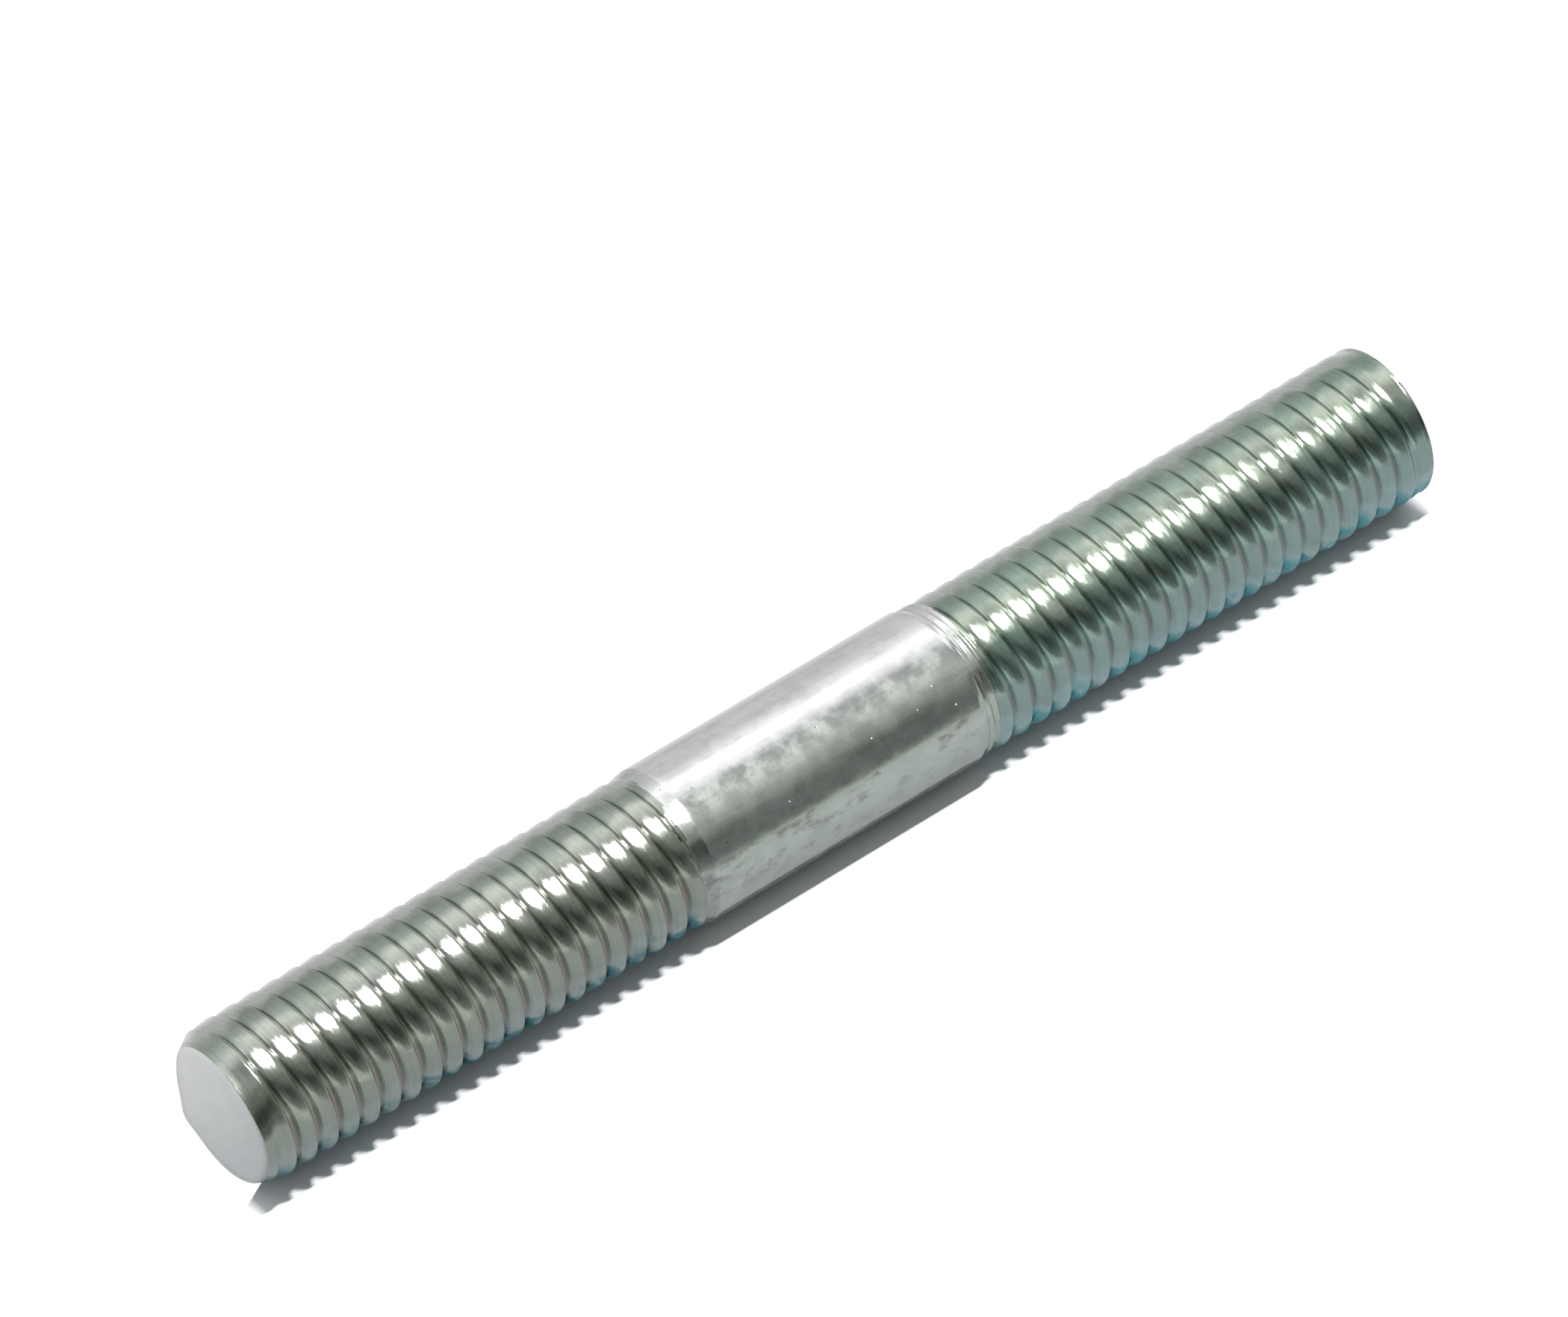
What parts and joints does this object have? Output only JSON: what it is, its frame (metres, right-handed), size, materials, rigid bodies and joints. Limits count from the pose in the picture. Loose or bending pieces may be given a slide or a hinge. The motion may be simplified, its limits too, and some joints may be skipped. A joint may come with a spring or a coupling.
{
  "type": "threaded stud",
  "caption": "Double-ended threaded stud with a plain full-size shank between two coarse threads, for fixing a part to a tapped hole or between nuts.",
  "frame": {"origin": "centre of the end face of the longer thread, on which the stud stands", "axes": "+Z along the stud's axis, from the longer thread to the shorter one; +X and +Y lie across it"},
  "size_m": [0.012, 0.012, 0.1027],
  "materials": {
    "zinc_plated_steel": "bright zinc plate, satin, with fine drawing lines on the shank"
  },
  "bodies": {
    "root": {"stud": "zinc_plated_steel"}
  },
  "joints": []
}
